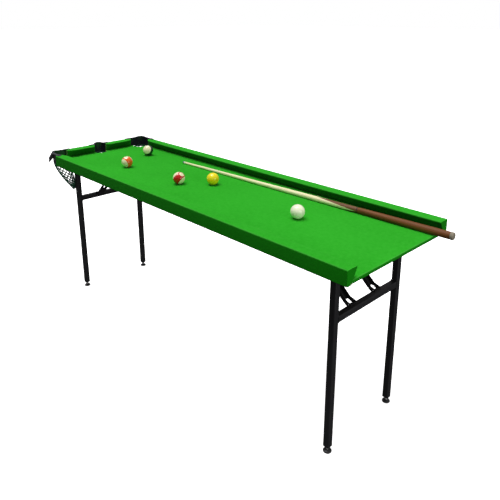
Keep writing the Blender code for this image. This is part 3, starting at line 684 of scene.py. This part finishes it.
# ---- balls and cue -------------------------------------------------------------------------
def ball_number(name, text, centre, radius, facing, up, size, body):
    """A printed number, bent onto the ball."""
    data = bpy.data.curves.new(name, "FONT")
    data.body = text
    data.align_x = "CENTER"
    data.align_y = "CENTER"
    data.size = size
    holder = bpy.data.objects.new(name + "_text", data)
    bpy.context.collection.objects.link(holder)
    flat = bpy.data.meshes.new_from_object(holder.evaluated_get(bpy.context.evaluated_depsgraph_get()))
    bpy.data.objects.remove(holder)
    bm = bmesh.new()
    bm.from_mesh(flat)
    bmesh.ops.subdivide_edges(bm, edges=[e for e in bm.edges if e.calc_length() > size * 0.15], cuts=3)
    facing = Vector(facing).normalized()
    right = Vector(up).cross(facing).normalized()
    above = facing.cross(right)
    lifted = radius + 0.00006                  # the ink stands just proud of the resin
    for vert in bm.verts:
        point = facing * radius + right * vert.co.x + above * vert.co.y
        vert.co = Vector(centre) + point.normalized() * lifted
    piece(name, bm, INK, body, keep=True)


def build_balls():
    """Each ball's colour, its stripe's axis, the direction of its number and the number."""
    to_camera = Vector((0.72, -0.66, 0.22))
    right = Vector((0.695, 0.719, 0.0))
    up = Vector((-0.20, 0.19, 0.96))
    red_disc = right * 0.80 + to_camera * 0.45 + up * 0.20
    orange_disc = up * 0.90 + right * 0.30
    red_pole = up * 0.70 - right * 0.78 - to_camera * 0.04
    orange_pole = -right * 0.62 + to_camera * 0.62 - up * 0.42
    green_pole = to_camera * 0.95 - right * 0.22 + up * 0.20
    balls = {
        "white_ball": ((0.95, 0.96, 0.72), None, None, None),
        "yellow_ball": ((0.98, 0.80, 0.006), None, -right * 0.7 - to_camera * 0.6, "1"),
        "red_striped_ball": ((0.60, 0.010, 0.004), red_pole, red_disc, "11"),
        "orange_striped_ball": ((0.95, 0.15, 0.015), orange_pole, orange_disc, "13"),
        "cream_ball": ((0.004, 0.055, 0.020), green_pole, -to_camera + up * 0.2, "14"),
    }
    for name, (colour, pole, disc, number) in balls.items():
        centre = middle(name)
        low, high = span(name)
        radius = (high.x - low.x) / 2
        if pole is not None:
            pole = pole.normalized()
            disc = (disc - pole * disc.dot(pole)).normalized()
        bm = bmesh.new()
        sphere(bm, centre, radius)
        material = ball_material(name + "_resin", centre, radius, colour, pole, disc)
        piece(name + "_polished", bm, material, name, (name,), smooth=180)
        if number:
            above = pole if pole is not None else Vector((0, 0, 1))
            size = 0.0125 if len(number) == 1 else 0.0100
            ball_number(name + "_number", number, centre, radius, disc, above, size, name)


def cue_frame():
    """Tip, direction and length of the cue, from its pieces' boxes."""
    low, high = span("cue_bumper")
    tip_low, tip_high = span("cue_tip")
    start = Vector((tip_low.x, (tip_low.y + tip_high.y) / 2, (tip_low.z + tip_high.z) / 2))
    end = Vector((high.x, (low.y + high.y) / 2, (low.z + high.z) / 2))
    direction = (end - start).normalized()
    return start, direction, (end - start).length


def build_cue():
    """Tip, ferrule, shaft, joint rings, butt and bumper, turned about one axis."""
    start, direction, length = cue_frame()
    segments = 40
    seam = 0.0002                              # half the gap between neighbouring pieces
    ring_width = 0.0012
    tip_radius = span("cue_tip")[1].z - middle("cue_tip").z
    end_radius = span("cue_bumper")[1].z - middle("cue_bumper").z

    def radius(distance):
        return tip_radius + (end_radius - tip_radius) * distance / length

    def distance_to(node):
        """Where a piece starts, measured from the tip along the cue."""
        return (span(node)[0].x - start.x) / direction.x

    def stations(low, high, count):
        """A stretch of the taper with its two ends eased."""
        ease = 0.0005
        inner = [low + (high - low) * k / count for k in range(1, count)]
        profile = [(low, radius(low) - ease)]
        profile += [(d, radius(d)) for d in inner]
        profile.append((high, radius(high) - ease))
        return profile

    def turned_piece(name, profiles, material, replaced=(), smooth=35):
        bm = bmesh.new()
        for profile in profiles:
            turned(bm, profile, start, direction, segments)
        piece(name, bm, material, "cue", replaced, smooth)

    joint = distance_to("cue_butt")
    bumper = distance_to("cue_bumper")
    ring_end = seam + ring_width
    tip_end = 0.0085
    tip = [(0.0004, 0.0008), (0.0006, tip_radius * 0.5), (0.0016, tip_radius * 0.82),
           (0.003, tip_radius * 0.98), (tip_end, radius(tip_end))]
    turned_piece("cue_tip_domed", [tip], CHALKED, ("cue_tip",), 50)
    turned_piece("cue_ferrule", [stations(tip_end + seam, FERRULE_END, 3)], IVORY)
    shaft = stations(FERRULE_END + seam, joint - ring_end - seam, 40)
    turned_piece("cue_shaft_spliced", [shaft], spliced_shaft(start, direction), ("cue_shaft",))
    rings = [stations(joint - ring_end, joint - seam, 3), stations(joint + seam, joint + ring_end, 3)]
    turned_piece("cue_joint_rings", rings, BLACK_PLASTIC)
    butt_wood = timber_material("cue_butt_wood", (0.225, 0.080, 0.020), (0.125, 0.040, 0.010), 34.0, 0.50,
                                (0.06, 1.0, 1.0))
    butt = stations(joint + ring_end + seam, bumper - seam, 24)
    turned_piece("cue_butt_turned", [butt], butt_wood, ("cue_butt",))
    end = radius(length)
    cap = [(bumper, end - 0.0006), (bumper + 0.001, end), (length - 0.004, end),
           (length - 0.0015, end * 0.9), (length - 0.0003, end * 0.66), (length, end * 0.4)]
    turned_piece("cue_bumper_domed", [cap], RUBBER, ("cue_bumper",), 50)


# ---- pockets -------------------------------------------------------------------------------
def build_brackets():
    """Moulded guards with eased edges and a screw through each ear."""
    ear_top = RAIL_TOP + 0.0034
    across = THICK / 2
    inset = 0.013                              # from the rail's end to the screw
    middle_reach = 0.049
    side_x = RAIL_LOW.x + inset
    end_y = -span("near_end_rail")[0].y - inset
    spots = {
        "near_corner": ((side_x, OUTER + across), (POCKET_X + across, -end_y)),
        "far_corner": ((side_x, -OUTER - across), (POCKET_X + across, end_y)),
        "middle": ((POCKET_X + across, -middle_reach), (POCKET_X + across, middle_reach)),
    }
    for name in POCKETS:
        refined(name + "_bracket", POCKET_BLACK, 0.0007)
        bm = bmesh.new()
        for x, y in spots[name]:
            cross_screw(bm, (x, y, ear_top), (0, 0, 1), 0.0030)
        piece(name + "_bracket_screws", bm, BLACK_STEEL, "table", smooth=50)


class NetPath:
    """The bag's surface. It hangs straight through the bed and then tapers, pulled sideways."""

    def __init__(self, name):
        low, high = span(name + "_net")
        self.centre = POCKETS[name]
        self.radius = HOLE_RADII[name] - 0.0012
        self.top, self.bottom = high.z - 0.0018, low.z
        self.sway = NET_SWAY[name]

    def section(self, z):
        """Centre and radius at a height."""
        hang = max(0.0, (UNDERSIDE - z) / (UNDERSIDE - self.bottom))
        x = self.centre.x + self.sway[0] * hang ** 1.25
        y = self.centre.y + self.sway[1] * hang ** 1.25
        return x, y, self.radius * (1 - 0.72 * hang ** 1.8)

    def spot(self, angle, share):
        """Point on the bag at a share of its depth."""
        z = self.top + (self.bottom - self.top) * share
        x, y, radius = self.section(z)
        swell = 1 + 0.03 * math.sin(5 * angle + 3 * share) * share
        sag = 0.002 * math.sin(3 * angle) * share
        return Vector((x + radius * swell * math.cos(angle), y + radius * swell * math.sin(angle), z + sag))


def cord_mesh(bm, points, radius, sides=6):
    """A thin round cord through points, with closed ends."""
    rows = []
    for k, point in enumerate(points):
        before = points[max(k - 1, 0)]
        after = points[min(k + 1, len(points) - 1)]
        axis = (after - before).normalized()
        across = axis.cross(Vector((0, 0, 1)) if abs(axis.z) < 0.95 else Vector((1, 0, 0))).normalized()
        other = axis.cross(across)
        rows.append(ring(point, across, other, radius, sides))
    closed_skin(bm, rows)


def build_tied_end(bm, path):
    """The gathered foot of a bag, bound with three turns of cord."""
    top = path.top + (path.bottom - path.top) * 0.84
    x, y, radius = path.section(top)
    start = Vector((x, y, top))
    x, y, _ = path.section(path.bottom)
    lean = Vector((x, y, path.bottom)) - start
    length = lean.length - 0.001
    lean.normalize()
    shape = ((0.0, 0.98), (0.18, 0.90), (0.34, 0.78), (0.42, 0.66), (0.5, 0.66), (0.58, 0.78), (0.76, 0.80),
             (0.9, 0.66), (0.97, 0.40), (1.0, 0.1))
    turned(bm, [(length * share, radius * size) for share, size in shape], start, lean, 24)
    side = lean.orthogonal().normalized()
    other = lean.cross(side)
    for share in (0.40, 0.46, 0.52):
        turn = [2 * math.pi * i / 20 for i in range(21)]
        centre = start + lean * length * share
        band = [centre + (side * math.cos(a) + other * math.sin(a)) * radius * 0.70 for a in turn]
        cord_mesh(bm, band, 0.0013)


def build_net(name):
    """Diamond netting: cords wind down both ways and are knotted where they cross."""
    path = NetPath(name)
    strands = 10
    rows, steps = 13, 4
    cord = 0.0021
    last = 0.86                                # share of the depth that is netting

    def crossing(row, column):
        return path.spot(2 * math.pi * column / strands, last * row / rows)

    bm = bmesh.new()
    for start in range(strands):
        for way in (1, -1):
            turns = [k / steps for k in range(rows * steps + 1)]
            cord_mesh(bm, [crossing(row, start + way * row / 2) for row in turns], cord)
    for row in range(1, rows + 1):
        for column in range(strands):
            made = bmesh.ops.create_icosphere(bm, subdivisions=1, radius=cord * 1.6)
            bmesh.ops.translate(bm, verts=made["verts"], vec=crossing(row, column + (row % 2) / 2))
    for share in (0.0, 0.025):
        rim = [path.spot(2 * math.pi * k / 64, share) for k in range(65)]
        cord_mesh(bm, rim, 0.0024, 8)
    build_tied_end(bm, path)
    piece(name + "_net_knotted", bm, CORD, "table", (name + "_net",), smooth=60)


# ---- legs and braces -----------------------------------------------------------------------
def rounded_square(half, corner, steps=5):
    outline = []
    for k, (sx, sy) in enumerate(((1, 1), (-1, 1), (-1, -1), (1, -1))):
        centre = (sx * (half - corner), sy * (half - corner))
        outline += arc(centre, corner, 90 * k, 90 * k + 90, steps)
    return outline


def tube_mesh(bm, place, low, high):
    """Open square tube with eased ends. place maps (a, b, along) to the world."""
    def outline(inset, along):
        return [place(a, b, along) for a, b in rounded_square(TUBE_HALF - inset, TUBE_CORNER - inset)]

    ease = 0.0004
    rows = [outline(0, low + ease), outline(0, high - ease), outline(ease, high), outline(TUBE_WALL, high),
            outline(TUBE_WALL, low), outline(ease, low), outline(0, low + ease)]
    skin(bm, rows, closed=True)
    bmesh.ops.remove_doubles(bm, verts=bm.verts, dist=1e-6)


def build_legs(end):
    """A frame's two legs with plugs, welds and hinge rivets, and its crossbar."""
    body = end + "_frame"
    bar_low, bar_high = span(end + "_crossbar")
    bar = (bar_low + bar_high) / 2
    for side, sign in SIDES.items():
        node = f"{end}_{side}_leg"
        low, high = span(node)
        x, y = (low.x + high.x) / 2, (low.y + high.y) / 2
        bm = bmesh.new()
        tube_mesh(bm, lambda a, b, along: (x + a, y + b, along), low.z, high.z)
        piece(node + "_tube", bm, BLACK_STEEL, body, (node,), smooth=30)
        bm = bmesh.new()
        for z, facing in ((high.z, 1), (low.z, -1)):
            rows = []
            for lift, shrink in ((0.0001, 0.0002), (0.0012, 0.0), (0.0022, 0.0008), (0.0027, 0.0025)):
                outline = rounded_square(TUBE_HALF - shrink, TUBE_CORNER)
                rows.append([(x + a, y + b, z + facing * lift) for a, b in outline])
            closed_skin(bm, rows)
        piece(node + "_plugs", bm, BLACK_PLASTIC, body, smooth=40)
        bm = bmesh.new()
        weld_y = y - sign * TUBE_HALF
        outline = rounded_square(0.0132, 0.0038, 8)
        points = []
        for k, (a, b) in enumerate(outline + outline[:1]):
            wobble = 0.0002 * math.sin(2.1 * k)
            points.append(Vector((bar.x + a, weld_y - sign * (0.0006 + wobble), bar.z + b)))
        cord_mesh(bm, points, 0.0014)
        piece(node + "_weld", bm, BLACK_STEEL, body, smooth=70)
        bm = bmesh.new()
        hinge_z = JOINTS[end + "_leg_fold"]["pos_m"][2]
        plate_out = 0.0150                     # from the leg's centre to the bracket's outer face
        for facing in (-1, 1):
            turned(bm, dome(0.0062, 0.0026), (x, y + facing * plate_out, hinge_z), (0, facing, 0), 24)
        piece(node + "_hinge_rivets", bm, ZINC, "table", smooth=50)
    bm = bmesh.new()
    tube_mesh(bm, lambda a, b, along: (bar.x + a, along, bar.z + b), bar_low.y, bar_high.y)
    piece(end + "_crossbar_tube", bm, BLACK_STEEL, body, (end + "_crossbar",), smooth=30)


def build_feet(end):
    """Levelling feet: a threaded stem, a moulded pad and a lock nut."""
    for side in SIDES:
        foot = f"{end}_{side}_foot"
        low, high = span(foot + "_stem")
        x, y = (low.x + high.x) / 2, (low.y + high.y) / 2
        bm = bmesh.new()
        thread_radius, pitch, depth = 0.0049, 0.00125, 0.0005
        segments, steps_per_turn = 24, 6
        blank = 0.001                          # unthreaded at each end
        rows = []
        count = int((high.z - low.z - 2 * blank) / pitch * steps_per_turn)
        for k in range(count + 1):
            z = low.z + blank + k * pitch / steps_per_turn
            row = []
            for i in range(segments):
                angle = 2 * math.pi * i / segments
                phase = (k / steps_per_turn - i / segments) % 1.0
                radius = thread_radius - depth * abs(2 * phase - 1)
                row.append((x + radius * math.cos(angle), y + radius * math.sin(angle), z))
            rows.append(row)
        closed_skin(bm, rows)
        piece(foot + "_thread", bm, ZINC, foot, (foot + "_stem",), smooth=80)
        bm = bmesh.new()
        pad_top = span(foot + "_pad")[1].z
        pad = [(0, 0.0135), (0.0006, 0.0150), (0.002, 0.0160), (0.0052, 0.0160), (0.0068, 0.0150),
               (0.0082, 0.0118), (0.0090, 0.0095), (pad_top, 0.0088)]
        turned(bm, pad, (x, y, 0), (0, 0, 1), 40)
        piece(foot + "_pad_moulded", bm, BLACK_PLASTIC, foot, (foot + "_pad",), smooth=45)
        bm = bmesh.new()
        z = span(f"{end}_{side}_leg")[0].z - 0.0085
        nut = [(0, 0.0080), (0.0004, 0.0086), (0.0046, 0.0086), (0.005, 0.0080)]
        turned(bm, nut, (x, y, z), (0, 0, 1), 6)
        piece(foot + "_lock_nut", bm, ZINC, foot, smooth=20)


def build_fittings(end):
    """Brace links and lugs, and the screwed brackets under the bed."""
    for side in SIDES:
        for part in ("brace_lug", "lower_brace", "upper_brace"):
            refined(f"{end}_{side}_{part}", BLACK_STEEL, 0.0004)
        for part in ("hinge_bracket", "brace_bracket"):
            node = f"{end}_{side}_{part}"
            refined(node, ZINC, 0.0003)
            low, high = span(node)
            inset = 0.005
            bm = bmesh.new()
            for x in (low.x + inset, high.x - inset):
                for y in (low.y + inset, high.y - inset):
                    cross_screw(bm, (x, y, high.z - 0.0022), (0, 0, -1), 0.0034)
            piece(node + "_screws", bm, ZINC, "table", smooth=50)


def build_staples():
    """Staples that hold the cloth under the rails and under the board's open edge."""
    bm = bmesh.new()
    half_long, half_wide, thick = 0.005, 0.0004, 0.0005
    bed_margin, rail_margin = 0.018, 0.02      # from the first staple to the cloth's edge
    bed_count, rail_count = 15, 36
    flap = BED_HIGH.x - 0.022
    low = BED_LOW.z - thick
    for k in range(bed_count):
        share = k / (bed_count - 1)
        y = BED_LOW.y + bed_margin + (BED_HIGH.y - BED_LOW.y - 2 * bed_margin) * share
        block(bm, (flap - half_wide, y - half_long, low), (flap + half_wide, y + half_long, low + thick))
    low = RAIL_BOTTOM - WRAP - thick
    for sign in SIDES.values():
        y = sign * (-OUTER - 0.015)
        for k in range(rail_count):
            share = k / (rail_count - 1)
            x = RAIL_LOW.x + rail_margin + (OPEN_X - RAIL_LOW.x - 2 * rail_margin) * share
            block(bm, (x - half_long, y - half_wide, low), (x + half_long, y + half_wide, low + thick))
    piece("cloth_staples", bm, ZINC, "table", smooth=20)


def dress_cad():
    """Materials for the CAD pieces that stay, most of them under the cloth."""
    dressed = {"bed_board": BOARD}
    for side in SIDES:
        for kind in ("side", "end"):
            dressed[f"{side}_{kind}_rail"] = PINE
            dressed[f"{side}_{kind}_cushion"] = RUBBER
    for node, material in dressed.items():
        materials = frame["nodes"][node].data.materials
        materials.clear()
        materials.append(material)


build_camera()
build_stage()
dress_cad()
build_bed_cloth()
build_rail_cloths()
build_brackets()
for pocket in POCKETS:
    build_net(pocket)
for end in ENDS:
    build_legs(end)
    build_feet(end)
    build_fittings(end)
build_staples()
build_balls()
build_cue()
